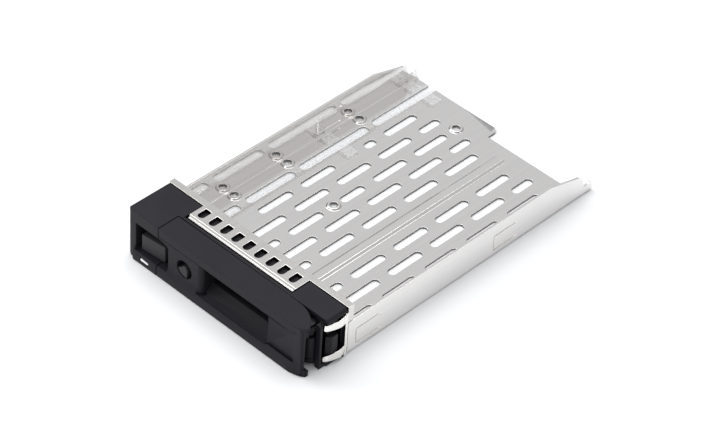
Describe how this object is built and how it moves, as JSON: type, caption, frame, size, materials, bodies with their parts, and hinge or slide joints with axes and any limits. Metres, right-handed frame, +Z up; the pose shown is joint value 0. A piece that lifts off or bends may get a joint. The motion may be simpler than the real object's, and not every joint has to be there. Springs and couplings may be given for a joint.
{
  "type": "hot-swap drive tray",
  "caption": "Perforated sheet-metal drive tray with a black plastic bezel, a side-hinged ejector lever, a push button, a key lock and a clear light pipe",
  "frame": {"origin": "middle of the bounding box's bottom face, on the plane of the pan's underside", "axes": "+Y from the bezel to the open back end, +Z up, +X to the right seen from the bezel side"},
  "size_m": [0.105, 0.1768, 0.0257],
  "materials": {
    "pan_steel": "satin rolled stainless sheet",
    "spring_steel": "bright spring steel",
    "hardware_steel": "black-oxide steel",
    "bezel_plastic": "finely textured black moulding",
    "button_plastic": "satin black moulding",
    "clear_plastic": "clear moulded light guide",
    "lens_plastic": "diffusing white lens"
  },
  "bodies": {
    "root": {"tray_pan": "pan_steel", "front_bracket": "pan_steel", "side_contact_spring": "spring_steel", "bezel_base": "bezel_plastic", "light_pipe": "clear_plastic", "status_lens": "lens_plastic", "lever_pin": "hardware_steel", "pin_clip": "hardware_steel", "lever_spring": "hardware_steel", "button_spring": "spring_steel", "bezel_screw_1": "hardware_steel", "bezel_screw_2": "hardware_steel", "bezel_screw_3": "hardware_steel", "bezel_screw_4": "hardware_steel"},
    "lever": {"ejector_lever": "bezel_plastic", "lock_ring": "hardware_steel"},
    "lock": {"lock_plug": "button_plastic", "lock_cam": "hardware_steel", "cam_screw": "hardware_steel"},
    "button": {"release_button": "button_plastic"}
  },
  "joints": [
    {"name": "lever_hinge", "type": "hinge", "parent": "root", "child": "lever", "pos_m": [0.044, -0.07765, 0.012], "axis": [0, 0, 1], "range_deg": [0, 55]},
    {"name": "lock_turn", "type": "hinge", "parent": "lever", "child": "lock", "pos_m": [-0.0186, -0.08115, 0.013], "axis": [0, -1, 0], "range_deg": [0, 90]},
    {"name": "button_slide", "type": "slide", "parent": "root", "child": "button", "axis": [0, 1, 0], "range_m": [0, 0.0018], "stiffness_N_per_m": 400}
  ]
}
